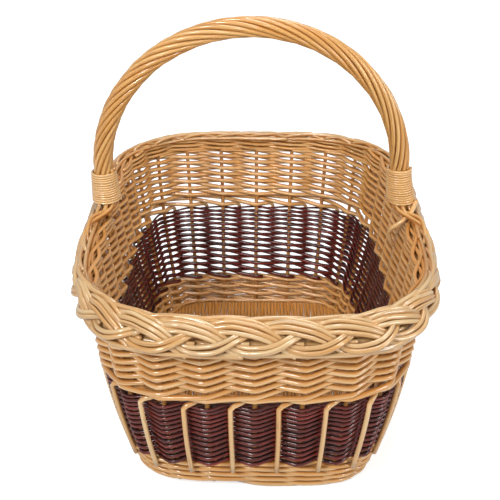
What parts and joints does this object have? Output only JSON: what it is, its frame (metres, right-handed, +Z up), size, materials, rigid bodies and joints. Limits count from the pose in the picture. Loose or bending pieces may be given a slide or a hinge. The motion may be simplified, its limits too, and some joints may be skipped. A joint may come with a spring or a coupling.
{
  "type": "woven market basket",
  "caption": "Deep rectangular willow basket with a flared side, a dark woven band, a plaited border and a fixed roped handle across it.",
  "frame": {"origin": "on the floor under the middle of the base", "axes": "+Z up, +Y along the basket's long side towards its back, +X to the right across it, along the handle"},
  "size_m": [0.3522, 0.4618, 0.4249],
  "materials": {
    "buff_willow": "varnished peeled willow, satin gloss",
    "dark_willow": "dyed and varnished willow, satin gloss"
  },
  "bodies": {
    "root": {"base_stick_1": "buff_willow", "base_stick_2": "buff_willow", "base_stick_3": "buff_willow", "base_stick_4": "buff_willow", "base_stick_5": "buff_willow", "base_stick_6": "buff_willow", "base_stick_7": "buff_willow", "base_weave": "buff_willow", "foot_wale": "buff_willow", "light_weave": "buff_willow", "top_wale": "buff_willow", "border_plait": "buff_willow", "handle_core": "buff_willow", "left_binding": "buff_willow", "right_binding": "buff_willow", "side_stake_01": "buff_willow", "side_stake_02": "buff_willow", "side_stake_03": "buff_willow", "side_stake_04": "buff_willow", "side_stake_05": "buff_willow", "side_stake_06": "buff_willow", "side_stake_07": "buff_willow", "side_stake_08": "buff_willow", "side_stake_09": "buff_willow", "side_stake_10": "buff_willow", "side_stake_11": "buff_willow", "side_stake_12": "buff_willow", "side_stake_13": "buff_willow", "side_stake_14": "buff_willow", "side_stake_15": "buff_willow", "side_stake_16": "buff_willow", "side_stake_17": "buff_willow", "side_stake_18": "buff_willow", "side_stake_19": "buff_willow", "side_stake_20": "buff_willow", "side_stake_21": "buff_willow", "side_stake_22": "buff_willow", "side_stake_23": "buff_willow", "side_stake_24": "buff_willow", "side_stake_25": "buff_willow", "side_stake_26": "buff_willow", "side_stake_27": "buff_willow", "side_stake_28": "buff_willow", "side_stake_29": "buff_willow", "side_stake_30": "buff_willow", "side_stake_31": "buff_willow", "side_stake_32": "buff_willow", "handle_rod_01": "buff_willow", "handle_rod_02": "buff_willow", "handle_rod_03": "buff_willow", "handle_rod_04": "buff_willow", "handle_rod_05": "buff_willow", "handle_rod_06": "buff_willow", "handle_rod_07": "buff_willow", "handle_rod_08": "buff_willow", "handle_rod_09": "buff_willow", "handle_rod_10": "buff_willow", "dark_weave": "dark_willow"}
  },
  "joints": []
}
